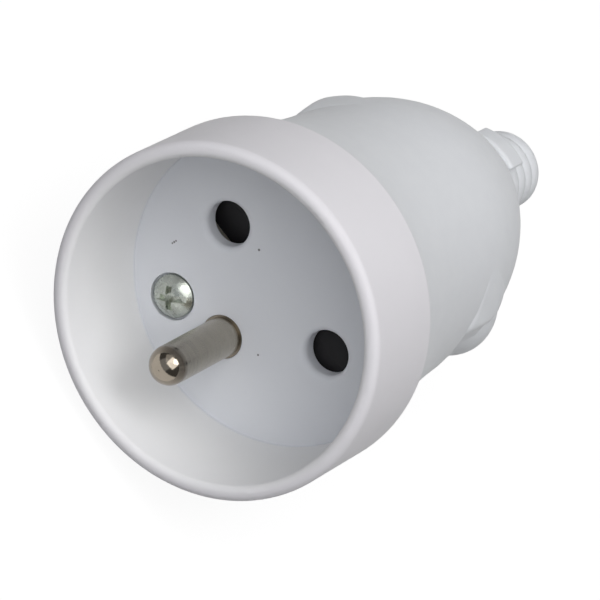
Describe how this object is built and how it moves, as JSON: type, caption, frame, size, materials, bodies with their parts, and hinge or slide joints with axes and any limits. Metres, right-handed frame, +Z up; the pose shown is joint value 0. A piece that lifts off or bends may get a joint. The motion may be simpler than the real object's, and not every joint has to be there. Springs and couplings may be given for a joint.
{
  "type": "female plug",
  "caption": "Round white trailing mains socket with a recessed face, contact holes, earth pin, inner shutter and ribbed cable sleeve, for wiring to the end of a flexible cable.",
  "frame": {"origin": "on the table under the middle of the socket as it lies on its side", "axes": "+Y towards the cable end, +X across the face along the contact holes, +Z up from the table"},
  "size_m": [0.0426, 0.079, 0.044],
  "materials": {
    "white_plastic": "satin",
    "sleeve_vinyl": "satin",
    "carrier_plastic": "matte",
    "shutter_plastic": "matte",
    "contact_brass": "satin",
    "plated_brass": "polished",
    "zinc_steel": "satin",
    "spring_steel": "polished"
  },
  "bodies": {
    "socket": {"front_body": "white_plastic", "rear_cover": "white_plastic", "cable_sleeve": "sleeve_vinyl", "contact_carrier": "carrier_plastic", "shutter_spring": "spring_steel", "live_contact": "contact_brass", "neutral_contact": "contact_brass", "live_contact_clip": "spring_steel", "neutral_contact_clip": "spring_steel", "earth_pin": "plated_brass", "live_terminal_screw": "zinc_steel", "neutral_terminal_screw": "zinc_steel", "earth_terminal_screw": "zinc_steel", "assembly_screw": "zinc_steel", "captive_nut": "zinc_steel", "cord_clamp": "carrier_plastic", "left_clamp_screw": "zinc_steel", "right_clamp_screw": "zinc_steel"},
    "shutter": {"shutter": "shutter_plastic"}
  },
  "joints": [
    {"name": "shutter_turn", "type": "hinge", "parent": "socket", "child": "shutter", "pos_m": [0, -0.01735, 0.02011], "axis": [0, 0.9881, -0.1539], "range_deg": [0, 36], "stiffness_Nm_per_rad": 0.004, "springref_deg": -17.19, "deforming": ["shutter_spring"]}
  ]
}
